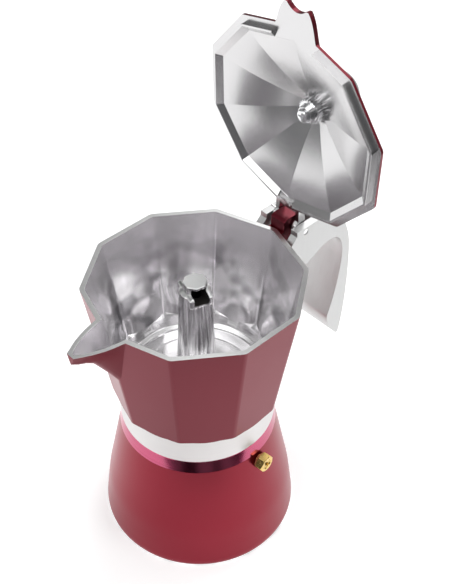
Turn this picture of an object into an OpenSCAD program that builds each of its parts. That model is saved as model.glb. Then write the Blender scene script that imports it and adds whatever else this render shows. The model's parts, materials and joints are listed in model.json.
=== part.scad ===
// Ten-sided stovetop moka pot, closed and ready to brew, with its lid standing open.
// The origin is the middle of the boiler's underside, +Z is up, the spout points to -X and the handle to +X.

/* [Boiler] */
// Radius of the boiler near its foot
boiler_foot_r = 53.3; // [48:0.1:56]
// Radius of the boiler at the edge of its shoulder
shoulder_r = 42; // [41:0.1:44]
// Height of the shoulder's outer edge
shoulder_z = 67.3; // [66:0.1:70]
// Thickness of the boiler's wall and floor
boiler_wall = 2.6; // [2:0.1:3]
// Radius of the threaded neck over its crests
neck_r = 38.3; // [37:0.1:38.4]
// Height of the neck's sealing edge
neck_top_z = 82; // [80:0.1:84]

/* [Upper vessel] */
// Corner radius of the ten-sided rim
rim_r = 56; // [54:0.1:58]
// Height of the rim
rim_z = 163.4; // [155:0.1:175]
// Corner radius at the low end of the facets
crease_r = 44.7; // [44:0.1:46]
// Height of the low end of the creases between facets
crease_z = 93.1; // [92:0.1:96]
// Wall thickness of the upper vessel
vessel_wall = 2.5; // [2:0.1:3]
// Radius of the machined band at its lower edge
band_r = 41; // [40.5:0.1:42]
// Height of the band's lower edge
band_z = 74.8; // [73:0.1:76]
// Height of the floor inside the vessel
vessel_floor_z = 95; // [94:0.1:98]

/* [Riser column] */
// Radius of the column at the vessel's floor
column_foot_r = 10.7; // [9:0.1:12]
// Radius of the column below its cap
column_top_r = 7.9; // [7:0.1:9]
// Height of the column's flat cap
column_top_z = 162.2; // [150:0.1:163]

/* [Lid] */
// Corner radius of the lid's rim
lid_r = 55.4; // [54:0.1:57]
// Corner radius of the ten-sided cone where it leaves the rim
cone_r = 47.5; // [45:0.1:49]
// Height of the cone inside the lid
cone_h = 15.5; // [12:0.1:18]
// Thickness of the lid's metal
lid_wall = 1.6; // [1.2:0.1:2]
// Angle that the lid turns from shut to its stop
lid_open = 83.8; // [70:0.1:88]

/* [Hinge] */
// Distance of the hinge pin from the pot's axis
pin_x = 64.6; // [63:0.1:66]
// Height of the hinge pin
pin_z = 164.9; // [164:0.1:166]
// Radius of the hinge pin
pin_r = 1.75; // [1.5:0.05:2]
// Width of the lug on the vessel
lug_w = 9.4; // [8:0.1:10]

/* [Handle] */
// Width of the handle's strap
handle_w = 26; // [24:0.5:28]
// Width of the slot between the handle's two cheeks
fork_gap = 17.2; // [17:0.1:18]

/* [Safety valve] */
// Width of the brass hexagon across its flats
valve_flats = 9; // [8:0.1:10]
// Height of the valve's axis
valve_z = 61.5; // [58:0.1:62]
// Direction of the valve round the pot, in degrees
valve_turn = -84; // [-100:1:-60]

/* [Hidden] */
$fn = 96;

facets = 10;
fit_gap = 0.3;
run_gap = 0.05;
eps = 0.01;

// Boiler
bell = [
    [boiler_foot_r - 3.2, 0],
    [boiler_foot_r - 0.9, 0.8],
    [boiler_foot_r, 3],
    [boiler_foot_r - 0.6, 8],
    [boiler_foot_r - 1.6, 16],
    [boiler_foot_r - 3, 26],
    [boiler_foot_r - 5.6, 39],
    [boiler_foot_r - 8.4, 53],
    [shoulder_r + 0.6, shoulder_z - 3],
    [shoulder_r, shoulder_z]
];
ledge_r = neck_r + 1.7;
ledge_z = band_z - 1.4;
neck_bore_r = 35;

// Upper vessel
skirt_bore_r = neck_r + fit_gap;
land_z = neck_top_z + 5.2;
band_top_z = crease_z - 2.3;
band_top_r = band_r + 1;
flare_r = crease_r + 0.8;
flare_z = crease_z + 0.6;
taper = (rim_r - crease_r) / (rim_z - crease_z);
riser_hole_r = 8;
riser_bore_r = 3.4;
lug_front_x = rim_r + 0.5;
lug_back_x = pin_x + 4.8;
lug_top_z = pin_z + 5.5;
lug_reach_r = 9;

// The spout: half width, height of its keel and distance from the axis, from root to tip
spout = [
    [11.6, 124, 47.6],
    [7.6, 149, 62.5],
    [2.4, 156.2, 75.8]
];
spout_wall = 2;

// Funnel and seal
bowl_r = neck_bore_r - 0.5;
bowl_wall = 0.8;
bowl_floor_z = 60;
flange_r = 37.4;
flange_h = 0.9;
tube_r = 5.5;
tube_foot_z = 7;
throat_z = bowl_floor_z - 7;
screen_z = bowl_floor_z + bowl_wall;
screen_h = 0.7;
seal_z = neck_top_z + flange_h;
seal_h = land_z - seal_z;
plate_r = 31.4;
plate_h = 0.8;

// Lid, in its shut place above the rim
lid_z = rim_z + 0.25;
skirt_r = rim_r - vessel_wall - 1.5;
skirt_wall = 1.2;
skirt_h = 2.4;
rim_h = 1.6;
ear_gap = 0.6;
ear_in = lug_w / 2 + ear_gap;
ear_out = fork_gap / 2 - ear_gap + 0.1;
ear_w = ear_out - ear_in;
eye_r = 4;
tab_root = 11.8;
hub_hole_r = 3;
bush_h = 3.4;

// Knob, on the lid's apex
knob_z = lid_z + cone_h + lid_wall - 0.7;

// The hinge pin leans a little, so the lid closes square with the rim and stands askew when open
pin_lean_y = 3;
pin_lean_x = -2.7;

// Safety valve, measured outwards from the pot's axis
valve_skin = 43.4;
valve_face = 48.4;
valve_bore_r = 3.2;
valve_cavity_r = 2.2;
valve_rod_r = 0.7;
valve_seat_r = valve_flats / sqrt(3) + 0.4;

function bez(a, b, c, d, n) = [
    for (i = [0:n])
        let (t = i / n, s = 1 - t)
        a * s * s * s + b * (3 * s * s * t) + c * (3 * s * t * t) + d * (t * t * t)
];

module frustum(r_low, r_high, z_low, z_high) {
    translate([0, 0, z_low])
        cylinder(h = z_high - z_low, r1 = r_low, r2 = r_high, $fn = facets);
}

module tube(r_out, r_in, z_low, z_high) {
    translate([0, 0, z_low])
        difference() {
            cylinder(h = z_high - z_low, r = r_out);
            translate([0, 0, -eps])
                cylinder(h = z_high - z_low + 2 * eps, r = r_in);
        }
}

// Carries a child drawn along +Z to the valve's axis, with its foot on the pot's axis
module on_valve_axis() {
    translate([0, 0, valve_z])
        rotate([0, 0, valve_turn])
            rotate([0, 90, 0])
                children();
}

// Lays a child drawn along +Z along the hinge pin, with its middle on the pin's middle
module on_pin_axis() {
    translate([pin_x, 0, pin_z])
        rotate([0, 0, pin_lean_x])
            rotate([pin_lean_y, 0, 0])
                rotate([-90, 0, 0])
                    children();
}

// Turns the shut lid about the hinge pin to its open stop
module opened() {
    translate([pin_x, 0, pin_z])
        rotate([0, 0, pin_lean_x])
            rotate([pin_lean_y, 0, 0])
                rotate([0, lid_open, 0])
                    rotate([-pin_lean_y, 0, 0])
                        rotate([0, 0, -pin_lean_x])
                            translate([-pin_x, 0, -pin_z])
                                children();
}

// Holes on rings, the pattern of both coffee filters
module perforations(rings, step, hole_r) {
    for (ring = [0:rings])
        for (i = [0:max(0, 6 * ring - 1)])
            rotate([0, 0, ring == 0 ? 0 : 60 * i / ring])
                translate([ring * step, 0, 0])
                    cylinder(h = 10, r = hole_r, center = true, $fn = 16);
}

module boiler() {
    color([0.55, 0.13, 0.2])
        difference() {
            rotate_extrude()
                polygon(concat(
                    [[0, 0]],
                    bell,
                    [[ledge_r, ledge_z], [neck_r, ledge_z], [neck_r, neck_top_z]],
                    [[neck_bore_r, neck_top_z], [neck_bore_r, shoulder_z - 6]],
                    [for (i = [len(bell) - 3:-1:3]) [bell[i][0] - boiler_wall, bell[i][1]]],
                    [[boiler_foot_r - boiler_wall - 4, boiler_wall], [0, boiler_wall]]
                ));
            on_valve_axis()
                union() {
                    cylinder(h = valve_skin + 0.1, r = valve_bore_r);
                    translate([0, 0, valve_skin])
                        cylinder(h = 10, r = valve_seat_r);
                }
        }
}

module valve_body() {
    color([0.78, 0.62, 0.28])
        on_valve_axis()
            difference() {
                union() {
                    translate([0, 0, valve_skin + 0.6])
                        cylinder(h = valve_face - valve_skin - 0.6, r = valve_flats / sqrt(3), $fn = 6);
                    translate([0, 0, valve_skin - 5])
                        cylinder(h = 7, r = valve_bore_r);
                }
                translate([0, 0, valve_skin - 6])
                    cylinder(h = valve_face - valve_skin + 4.6, r = valve_cavity_r);
                cylinder(h = 60, r = valve_rod_r + 0.5);
            }
}

module valve_washer() {
    color([0.75, 0.3, 0.18])
        on_valve_axis()
            difference() {
                translate([0, 0, valve_skin])
                    cylinder(h = 0.6, r = valve_flats / 2 - 0.2);
                cylinder(h = 60, r = valve_bore_r);
            }
}

module valve_seat() {
    color([0.7, 0.55, 0.25])
        on_valve_axis()
            difference() {
                translate([0, 0, valve_skin - 5])
                    cylinder(h = 1, r = valve_cavity_r);
                cylinder(h = 60, r = 1.1);
            }
}

module valve_spring() {
    turns = 4;
    coil_r = 1.55;
    wire_r = 0.22;
    rings = turns * 16;
    sides = 6;
    length = 6.15;
    points = [
        for (i = [0:rings])
            let (a = 360 * turns * i / rings, z = length * i / rings)
            for (k = [0:sides - 1])
                let (b = 360 * k / sides, r = coil_r + wire_r * cos(b))
                [r * cos(a), r * sin(a), z + wire_r * sin(b)]
    ];
    walls = [
        for (i = [0:rings - 1])
            for (k = [0:sides - 1])
                let (m = (k + 1) % sides)
                [i * sides + k, (i + 1) * sides + k, (i + 1) * sides + m, i * sides + m]
    ];
    start = [for (k = [0:sides - 1]) k];
    finish = [for (k = [sides - 1:-1:0]) rings * sides + k];
    color("silver")
        on_valve_axis()
            translate([0, 0, valve_skin - 2.77])
                polyhedron(points, concat(walls, [start, finish]));
}

module valve_stem() {
    color([0.82, 0.68, 0.35])
        on_valve_axis()
            union() {
                translate([0, 0, valve_skin - 4])
                    cylinder(h = 1, r = valve_cavity_r - 0.15);
                translate([0, 0, valve_skin - 3.5])
                    cylinder(h = valve_face - valve_skin + 4.5, r = valve_rod_r);
            }
}

module funnel_bowl() {
    color([0.8, 0.81, 0.82])
        rotate_extrude()
            polygon([
                [tube_r, throat_z],
                [tube_r + bowl_wall, throat_z],
                [bowl_r - 4, bowl_floor_z - 1],
                [bowl_r, bowl_floor_z + 3],
                [bowl_r, neck_top_z],
                [flange_r, neck_top_z],
                [flange_r, neck_top_z + flange_h],
                [bowl_r - bowl_wall, neck_top_z + flange_h],
                [bowl_r - bowl_wall, bowl_floor_z + 3],
                [bowl_r - 4 - bowl_wall, bowl_floor_z],
                [tube_r, throat_z + 1]
            ]);
}

module funnel_tube() {
    color([0.8, 0.81, 0.82])
        rotate_extrude()
            polygon([
                [tube_r - bowl_wall, tube_foot_z],
                [tube_r, tube_foot_z + 2],
                [tube_r, throat_z + 1],
                [tube_r - bowl_wall, throat_z + 1]
            ]);
}

module funnel_screen() {
    color([0.7, 0.71, 0.72])
        difference() {
            translate([0, 0, screen_z])
                cylinder(h = screen_h, r = bowl_r - bowl_wall - 3.5);
            translate([0, 0, screen_z])
                perforations(3, 7.5, 1);
        }
}

module gasket() {
    color([0.93, 0.93, 0.9])
        difference() {
            tube(flange_r - 0.2, plate_r - 2.4, seal_z, land_z);
            translate([0, 0, land_z - 1.6 - plate_h])
                cylinder(h = plate_h, r = plate_r);
        }
}

module filter_plate() {
    color([0.75, 0.76, 0.77])
        difference() {
            translate([0, 0, land_z - 1.6 - plate_h])
                cylinder(h = plate_h, r = plate_r);
            translate([0, 0, land_z - 1.6])
                perforations(3, 7.5, 1);
        }
}

// Outside of the faceted vessel, with its foot turned down to the band
module vessel_outside() {
    low_r = crease_r - taper * (crease_z - band_top_z + 2);
    intersection() {
        frustum(low_r, rim_r, band_top_z - 2, rim_z);
        rotate_extrude()
            polygon([
                [0, band_top_z - 2],
                [band_top_r, band_top_z - 2],
                [band_top_r, band_top_z],
                [flare_r, flare_z],
                [rim_r + 5, flare_z + 6],
                [rim_r + 5, rim_z + 5],
                [0, rim_z + 5]
            ]);
    }
    rotate_extrude()
        polygon([
            [0, band_z + 4],
            [skirt_bore_r - 2, band_z + 4],
            [skirt_bore_r - 2, band_z],
            [band_r, band_z],
            [band_top_r, band_top_z],
            [band_top_r - 2, vessel_floor_z],
            [0, vessel_floor_z]
        ]);
}

// One cross-section of the spout: a thin upright triangle with its keel down
module spout_slice(s, shrink) {
    translate([-s[2], 0, 0])
        rotate([90, 0, -90])
            linear_extrude(height = 0.4)
                polygon([
                    [-s[0] + shrink, rim_z + (shrink > 0 ? 4 : 0)],
                    [s[0] - shrink, rim_z + (shrink > 0 ? 4 : 0)],
                    [0.6, s[1] + shrink * 1.3],
                    [-0.6, s[1] + shrink * 1.3]
                ]);
}

module spout_form(shrink) {
    for (i = [0:len(spout) - 2])
        hull() {
            spout_slice(spout[i], shrink);
            spout_slice(spout[i + 1], shrink);
        }
}

module lug() {
    intersection() {
        translate([0, lug_w / 2, 0])
            rotate([90, 0, 0])
                linear_extrude(height = lug_w)
                    polygon([
                        [rim_r - 6, 138],
                        [rim_r - 1.6, rim_z],
                        [lug_front_x, rim_z],
                        [lug_front_x, lug_top_z],
                        [lug_back_x, lug_top_z],
                        [lug_back_x, pin_z - 6]
                    ]);
        union() {
            translate([pin_x, 20, pin_z])
                rotate([90, 0, 0])
                    cylinder(h = 40, r = lug_reach_r);
            translate([30, -20, 100])
                cube([50, 40, pin_z - 105]);
        }
    }
}

module vessel() {
    color([0.5, 0.22, 0.27])
        difference() {
            union() {
                vessel_outside();
                spout_form(0);
                lug();
            }
            frustum(
                crease_r + taper * (vessel_floor_z - crease_z) - vessel_wall - 1.2,
                rim_r - vessel_wall + taper * 2,
                vessel_floor_z, rim_z + 2
            );
            spout_form(spout_wall);
            translate([0, 0, band_z - eps])
                cylinder(h = land_z - band_z + eps, r = skirt_bore_r);
            translate([0, 0, land_z - eps])
                cylinder(h = 4, r1 = plate_r - 1.5, r2 = riser_hole_r);
            cylinder(h = 120, r = riser_hole_r);
            on_pin_axis()
                cylinder(h = 40, r = pin_r, center = true);
        }
}

module riser_column() {
    shaft_top_z = column_top_z - 5;
    cap_r = 6.2;
    window_z = column_top_z - 11;
    color([0.72, 0.72, 0.73])
        difference() {
            union() {
                translate([0, 0, land_z + 3.8])
                    cylinder(h = vessel_floor_z - land_z - 3.8, r = riser_hole_r);
                translate([0, 0, vessel_floor_z])
                    cylinder(h = shaft_top_z - vessel_floor_z, r1 = column_foot_r, r2 = column_top_r);
                translate([0, 0, shaft_top_z])
                    cylinder(h = column_top_z - shaft_top_z, r = cap_r, $fn = 8);
            }
            translate([0, 0, land_z])
                cylinder(h = window_z + 5 - land_z, r = riser_bore_r);
            for (turn = [-108, 72])
                rotate([0, 0, turn])
                    translate([0, -3.4, window_z])
                        cube([12, 6.8, 7]);
        }
}

// Side view of the handle, from the hinge round the strap and back under the arm
handle_side = concat(
    [[pin_x - 7.1, 164.2], [pin_x - 7.1, 167]],
    bez([75, 167], [90, 167], [99, 151], [100.2, 133], 12),
    bez([100.2, 133], [101.4, 115], [101.2, 90], [97.6, 73], 12),
    bez([97, 72.2], [96, 71.6], [95.2, 72.4], [94.5, 73.6], 4),
    bez([94, 74.4], [91, 78], [87, 84], [86.4, 90], 5),
    bez([86.6, 91], [89, 98], [93.6, 112], [94.6, 130], 10),
    bez([94.6, 131], [94.6, 142], [91, 148.3], [83, 148.3], 10),
    bez([82, 148.3], [76, 148], [62, 139], [49.3, 133.5], 8),
    [[53.3, 160]]
);

module handle() {
    color([0.85, 0.86, 0.86])
        difference() {
            translate([0, handle_w / 2, 0])
                rotate([90, 0, 0])
                    linear_extrude(height = handle_w)
                        polygon(handle_side);
            translate([30, -fork_gap / 2, 100])
                cube([42.5, fork_gap, 100]);
            on_pin_axis()
                cylinder(h = 60, r = pin_r, center = true);
        }
}

module hinge_pin() {
    color([0.85, 0.85, 0.86])
        on_pin_axis()
            cylinder(h = handle_w - 0.6, r = pin_r, center = true);
}

// The lid's rim, its thumb tab and its hinge ears, seen from above
module lid_plate() {
    difference() {
        translate([0, 0, lid_z])
            cylinder(h = rim_h, r = lid_r, $fn = facets);
        frustum(cone_r, cone_r - 8, lid_z - eps, lid_z + 3);
    }
    translate([0, 0, lid_z])
        linear_extrude(height = rim_h)
            polygon(concat(
                bez([-49, tab_root + 1], [-54, 10.6], [-61, 10.6], [-65.6, 6.6], 5),
                bez([-64.6, 5.4], [-61, 2], [-61, -2], [-64.6, -5.4], 5),
                bez([-65.6, -6.6], [-61, -10.6], [-54, -10.6], [-49, -tab_root - 1], 5)
            ));
}

module lid_ears() {
    for (side = [-1, 1])
        translate([0, side * (ear_in + ear_w / 2) + ear_w / 2, 0])
            rotate([90, 0, 0])
                linear_extrude(height = ear_w)
                    polygon(concat(
                        [[rim_r - 8, lid_z], [pin_x - 4, lid_z]],
                        [for (a = [-150:15:90]) [pin_x + eye_r * cos(a), pin_z + eye_r * sin(a)]],
                        [[rim_r - 4, pin_z + eye_r - 1], [rim_r - 8, lid_z + rim_h]]
                    ));
}

// A lip inside the vessel's rim, slanted on the inside
module lid_skirt() {
    difference() {
        translate([0, 0, lid_z - skirt_h])
            cylinder(h = skirt_h + eps, r = skirt_r, $fn = facets);
        frustum(skirt_r - skirt_wall, cone_r, lid_z - skirt_h, lid_z + 1);
        frustum(skirt_r - skirt_wall + 1, skirt_r - skirt_wall, lid_z - skirt_h - 1, lid_z - skirt_h);
        translate([-70, -tab_root, lid_z - 5])
            cube([30, 2 * tab_root, 5]);
        translate([46, -5, lid_z - 5])
            cube([20, 10, 5]);
    }
}

module lid() {
    color([0.66, 0.25, 0.32])
        opened()
            difference() {
                union() {
                    lid_plate();
                    lid_skirt();
                    lid_ears();
                    frustum(cone_r + 3, hub_hole_r + 5, lid_z + 0.2, lid_z + cone_h + lid_wall);
                }
                frustum(cone_r, hub_hole_r + 4, lid_z - eps, lid_z + cone_h);
                translate([0, 0, lid_z])
                    cylinder(h = 40, r = hub_hole_r);
                translate([pin_x, 0, pin_z])
                    rotate([0, 0, pin_lean_x])
                        rotate([pin_lean_y, 0, 0])
                            rotate([-90, 0, 0])
                                cylinder(h = 40, r = pin_r + run_gap, center = true);
            }
}

module knob() {
    color([0.85, 0.86, 0.86])
        opened()
            translate([0, 0, knob_z])
                difference() {
                    rotate_extrude()
                        polygon(concat(
                            [[0, 0.7], [8.6, 0.7], [8.6, 2.4]],
                            bez([7.4, 3.4], [5.4, 7], [6, 10], [9.6, 13], 8),
                            bez([11.2, 14.4], [13.4, 17], [12, 22.4], [0, 23.6], 10)
                        ));
                    translate([0, 0, -eps])
                        cylinder(h = 13, r = 3.4);
                }
}

module knob_insert() {
    color([0.75, 0.6, 0.3])
        opened()
            translate([0, 0, knob_z])
                tube(3.4, 1.9, 0.7, 12);
}

module knob_bush() {
    color([0.8, 0.8, 0.81])
        opened()
            translate([0, 0, lid_z + cone_h - 3.4])
                difference() {
                    union() {
                        cylinder(h = bush_h, r = 6);
                        for (i = [0:23])
                            rotate([0, 0, 15 * i])
                                translate([6, 0, bush_h / 2])
                                    cube([1.3, 0.8, bush_h], center = true);
                    }
                    translate([0, 0, -eps])
                        cylinder(h = 8, r = 2.2);
                }
}

module knob_cap() {
    color([0.9, 0.9, 0.91])
        opened()
            translate([0, 0, lid_z + cone_h - 6.4])
                difference() {
                    cylinder(h = 3, r1 = 4.1, r2 = 4.9);
                    translate([0, 0, -eps])
                        cylinder(h = 8, r = 2.2);
                }
}

module knob_screw() {
    head_z = lid_z + cone_h - 8.2;
    color([0.86, 0.86, 0.87])
        opened()
            difference() {
                union() {
                    translate([0, 0, head_z])
                        cylinder(h = 1.8, r = 3.4);
                    translate([0, 0, head_z + 1.7])
                        cylinder(h = knob_z + 11 - head_z - 1.7, r = 1.9);
                }
                for (turn = [0, 90])
                    translate([0, 0, head_z])
                        rotate([0, 0, turn])
                            cube([4.6, 0.8, 2], center = true);
            }
}

boiler();
valve_body();
valve_washer();
valve_seat();
valve_spring();
valve_stem();
funnel_bowl();
funnel_tube();
funnel_screen();
gasket();
filter_plate();
vessel();
riser_column();
handle();
hinge_pin();
lid();
knob();
knob_insert();
knob_bush();
knob_cap();
knob_screw();
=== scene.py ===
import json
import math

import bmesh
import bpy
from mathutils import Matrix, Quaternion, Vector


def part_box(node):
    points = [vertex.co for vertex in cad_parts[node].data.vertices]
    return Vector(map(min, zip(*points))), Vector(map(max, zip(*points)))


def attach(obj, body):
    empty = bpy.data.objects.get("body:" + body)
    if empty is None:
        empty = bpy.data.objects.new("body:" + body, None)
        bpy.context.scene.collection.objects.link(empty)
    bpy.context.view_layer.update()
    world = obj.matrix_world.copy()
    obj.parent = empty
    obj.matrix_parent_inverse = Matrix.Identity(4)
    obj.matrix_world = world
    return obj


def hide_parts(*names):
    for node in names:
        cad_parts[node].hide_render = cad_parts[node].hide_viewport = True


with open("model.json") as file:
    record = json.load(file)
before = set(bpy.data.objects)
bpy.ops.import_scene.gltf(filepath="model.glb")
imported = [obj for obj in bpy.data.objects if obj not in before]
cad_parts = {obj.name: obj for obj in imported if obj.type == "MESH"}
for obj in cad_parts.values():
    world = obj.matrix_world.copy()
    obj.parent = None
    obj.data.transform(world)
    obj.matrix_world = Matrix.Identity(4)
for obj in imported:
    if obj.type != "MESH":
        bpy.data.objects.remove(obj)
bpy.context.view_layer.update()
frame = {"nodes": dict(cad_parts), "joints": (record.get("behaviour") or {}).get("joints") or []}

# All shapes are drawn in millimetres, in the pot's own frame, and scaled when a piece is made.
MM = 0.001
SIDES = 10
TURN_STEPS = 160

# Heights and radii of the pot
FOOT_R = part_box("boiler")[1].x / MM
NECK_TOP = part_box("boiler")[1].z / MM
SHOULDER_R, SHOULDER_Z = 42.0, 67.3
LEDGE_R, LEDGE_Z = 40.0, 73.4
NECK_R, NECK_BORE = 37.3, 35.0
RIM_R, RIM_Z = 56.0, 163.4
CREASE_R, CREASE_Z = 44.7, 93.1
BAND_R, BAND_Z = 41.0, 74.8
BAND_TOP_R, BAND_TOP_Z = 42.0, 90.8
FLOOR_Z, LAND_Z = 95.0, 87.2
WALL = 2.5
TAPER = (RIM_R - CREASE_R) / (RIM_Z - CREASE_Z)
SKIRT_BORE = 38.6
RISER_HOLE = 8.0
THREAD_PITCH = 4.0
SPOUT_TIP = -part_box("vessel")[0].x / MM

# Hinge, lid and knob, in the lid's shut place
HINGE = next(j for j in frame["joints"] if j["name"] == "lid_hinge")
PIN = Vector(HINGE["pos_m"]) / MM
PIN_LINE = -Vector(HINGE["axis"])
PIN_R = 1.75
LUG_W, FORK_GAP, EAR_GAP = 9.4, 17.2, 0.6
LID_R, LID_Z, LID_RIM_H = 55.4, 163.65, 1.6
SKIRT_R, SKIRT_WALL, SKIRT_H = 52.0, 1.2, 2.4
CONE_R, CONE_H, LID_WALL = 47.5, 15.5, 1.6
HANDLE_W = 2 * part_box("handle")[1].y / MM

# Safety valve
VALVE = next(j for j in frame["joints"] if j["name"] == "valve_lift")
VALVE_Z = (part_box("valve_body")[0].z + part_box("valve_body")[1].z) / 2 / MM
VALVE_SKIN, VALVE_FACE, VALVE_FLATS = 43.4, 48.4, 9.0

# Finish numbers on the shapes that carry more than one finish
FINISHES = 5
RED, BARE, BAND, TURNED, RIM = range(FINISHES)


# ---------------------------------------------------------------- shapes

def rounded(corners, closed=True, parts=4):
    """An outline with its corners, given as (across, up, radius), turned into small arcs."""
    outline = []
    for i, (x, y, radius) in enumerate(corners):
        here = Vector((x, y))
        ends = not closed and i in (0, len(corners) - 1)
        if radius == 0 or ends:
            outline.append(here)
            continue
        to_last = (Vector(corners[i - 1][:2]) - here).normalized()
        to_next = (Vector(corners[(i + 1) % len(corners)][:2]) - here).normalized()
        half = to_last.angle(to_next) / 2
        middle = here + (to_last + to_next).normalized() * radius / math.sin(half)
        start = here + to_last * radius / math.tan(half) - middle
        stop = here + to_next * radius / math.tan(half) - middle
        sweep = start.angle(stop)
        for k in range(parts + 1):
            share = k / parts
            arm = start * math.sin((1 - share) * sweep) + stop * math.sin(share * sweep)
            outline.append(middle + arm / math.sin(sweep))
    return outline


def flowing(points, parts=4):
    """A smooth line through the points."""
    line = []
    for i in range(len(points) - 1):
        a = Vector(points[max(i - 1, 0)])
        b, c = Vector(points[i]), Vector(points[i + 1])
        d = Vector(points[min(i + 2, len(points) - 1)])
        for k in range(parts):
            t = k / parts
            line.append(
                (b * 2 + (c - a) * t + (a * 2 - b * 5 + c * 4 - d) * t ** 2
                 + (b * 3 - a - c * 3 + d) * t ** 3) / 2
            )
    line.append(Vector(points[-1]))
    return line


def bend(a, b, c, d, parts=16):
    """A Bezier curve from a to d."""
    curve = []
    for k in range(parts + 1):
        t = k / parts
        s = 1 - t
        curve.append(
            Vector(a) * s ** 3 + Vector(b) * 3 * s * s * t
            + Vector(c) * 3 * s * t * t + Vector(d) * t ** 3
        )
    return curve


def turned(outline, steps=TURN_STEPS, finish=0, closed=False):
    """Spins an outline of (radius, height) about the pot's axis. An open outline ends on the axis."""
    bm = bmesh.new()
    verts = [bm.verts.new((p[0], 0, p[1])) for p in outline]
    pairs = list(zip(verts, verts[1:])) + ([(verts[-1], verts[0])] if closed else [])
    edges = [bm.edges.new(pair) for pair in pairs]
    bmesh.ops.spin(
        bm, geom=verts + edges, cent=(0, 0, 0), axis=(0, 0, 1),
        angle=2 * math.pi, steps=steps, use_merge=True,
    )
    return tidied(bm, finish)


def tidied(bm, finish=None):
    """Merges doubles, turns the faces outwards and gives them one finish."""
    bmesh.ops.remove_doubles(bm, verts=bm.verts, dist=0.0004)
    bmesh.ops.recalc_face_normals(bm, faces=bm.faces)
    if finish is not None:
        for face in bm.faces:
            face.material_index = finish
    return bm


def stacked(rings, corner=0.0, finish=0, sides=SIDES, parts=4):
    """A many-sided solid through rings of (corner radius, height), its upright edges rounded."""
    bm = bmesh.new()
    radius, height = rings[0]
    bmesh.ops.create_circle(
        bm, cap_ends=True, segments=sides, radius=radius,
        matrix=Matrix.Translation((0, 0, height)) @ Matrix.Rotation(math.pi / 2, 4, "Z"),
    )
    face = bm.faces[:][0]
    for next_radius, next_height in rings[1:]:
        if len(bm.faces) == 1:
            out = bmesh.ops.extrude_face_region(bm, geom=[face])["geom"]
        else:
            out = bmesh.ops.extrude_discrete_faces(bm, faces=[face])["faces"]
        face = next(g for g in out if isinstance(g, bmesh.types.BMFace))
        for vert in face.verts:
            vert.co.x *= next_radius / radius
            vert.co.y *= next_radius / radius
            vert.co.z = next_height
        radius = next_radius
    bmesh.ops.recalc_face_normals(bm, faces=bm.faces)
    if corner:
        upright = [e for e in bm.edges if abs(e.verts[0].co.z - e.verts[1].co.z) > 0.05]
        bevelled(bm, upright, corner, parts)
    return tidied(bm, finish)


def bevelled(bm, edges, width, parts=2):
    """Rounds these edges."""
    bmesh.ops.bevel(
        bm, geom=edges, offset=width, offset_type="OFFSET", segments=parts,
        profile=0.5, affect="EDGES", clamp_overlap=True, material=-1,
    )


def sharp_edges(bm, angle=40, where=None):
    """Edges whose faces meet at more than this angle, in degrees."""
    limit = math.radians(angle)
    return [
        e for e in bm.edges
        if len(e.link_faces) == 2 and e.calc_face_angle() > limit
        and (where is None or (where(e.verts[0].co) and where(e.verts[1].co)))
    ]


def plank(outline, low, high, finish=0):
    """Pushes a side view, given as (along X, up Z), from one Y to another."""
    bm = bmesh.new()
    face = bm.faces.new([bm.verts.new((p[0], low, p[1])) for p in outline])
    out = bmesh.ops.extrude_face_region(bm, geom=[face])
    moved = [v for v in out["geom"] if isinstance(v, bmesh.types.BMVert)]
    bmesh.ops.translate(bm, verts=moved, vec=(0, high - low, 0))
    return tidied(bm, finish)


def slab(outline, low, high, finish=0):
    """Pushes a plan view, given as (X, Y), from one height to another."""
    bm = bmesh.new()
    face = bm.faces.new([bm.verts.new((p[0], p[1], low)) for p in outline])
    out = bmesh.ops.extrude_face_region(bm, geom=[face])
    moved = [v for v in out["geom"] if isinstance(v, bmesh.types.BMVert)]
    bmesh.ops.translate(bm, verts=moved, vec=(0, 0, high - low))
    return tidied(bm, finish)


def block(low, high, finish=0, corner=0.0):
    """A brick between two corners."""
    bm = bmesh.new()
    bmesh.ops.create_cube(bm, size=1)
    low, high = Vector(low), Vector(high)
    bmesh.ops.scale(bm, vec=high - low, verts=bm.verts)
    bmesh.ops.translate(bm, vec=(low + high) / 2, verts=bm.verts)
    if corner:
        bevelled(bm, bm.edges[:], corner, 3)
    return tidied(bm, finish)


def rod(radius, low, high, steps=48, finish=0, edge=0.0):
    """A round bar on the Z axis."""
    if edge:
        corners = [(0, low, 0), (radius, low, edge), (radius, high, edge), (0, high, 0)]
    else:
        corners = [(0, low, 0), (radius, low, 0), (radius, high, 0), (0, high, 0)]
    return turned(rounded(corners, closed=False), steps, finish)


def moved(bm, matrix):
    bmesh.ops.transform(bm, matrix=matrix, verts=bm.verts)
    return bm


def carved(body, tool, operation):
    """Joins, cuts or keeps what is common of two shapes; each face keeps its finish number."""
    pair = []
    for shape in (body, tool):
        mesh = bpy.data.meshes.new("shape")
        shape.to_mesh(mesh)
        shape.free()
        for _ in range(FINISHES):
            mesh.materials.append(None)
        thing = bpy.data.objects.new("shape", mesh)
        bpy.context.scene.collection.objects.link(thing)
        pair.append(thing)
    step = pair[0].modifiers.new("carve", "BOOLEAN")
    step.operation = operation
    step.solver = "EXACT"
    step.object = pair[1]
    graph = bpy.context.evaluated_depsgraph_get()
    mesh = bpy.data.meshes.new_from_object(pair[0].evaluated_get(graph))
    result = bmesh.new()
    result.from_mesh(mesh)
    for thing in pair:
        data = thing.data
        bpy.data.objects.remove(thing)
        bpy.data.meshes.remove(data)
    bpy.data.meshes.remove(mesh)
    bmesh.ops.remove_doubles(result, verts=result.verts, dist=0.002)
    bmesh.ops.dissolve_degenerate(result, edges=result.edges, dist=0.002)
    return result


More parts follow.
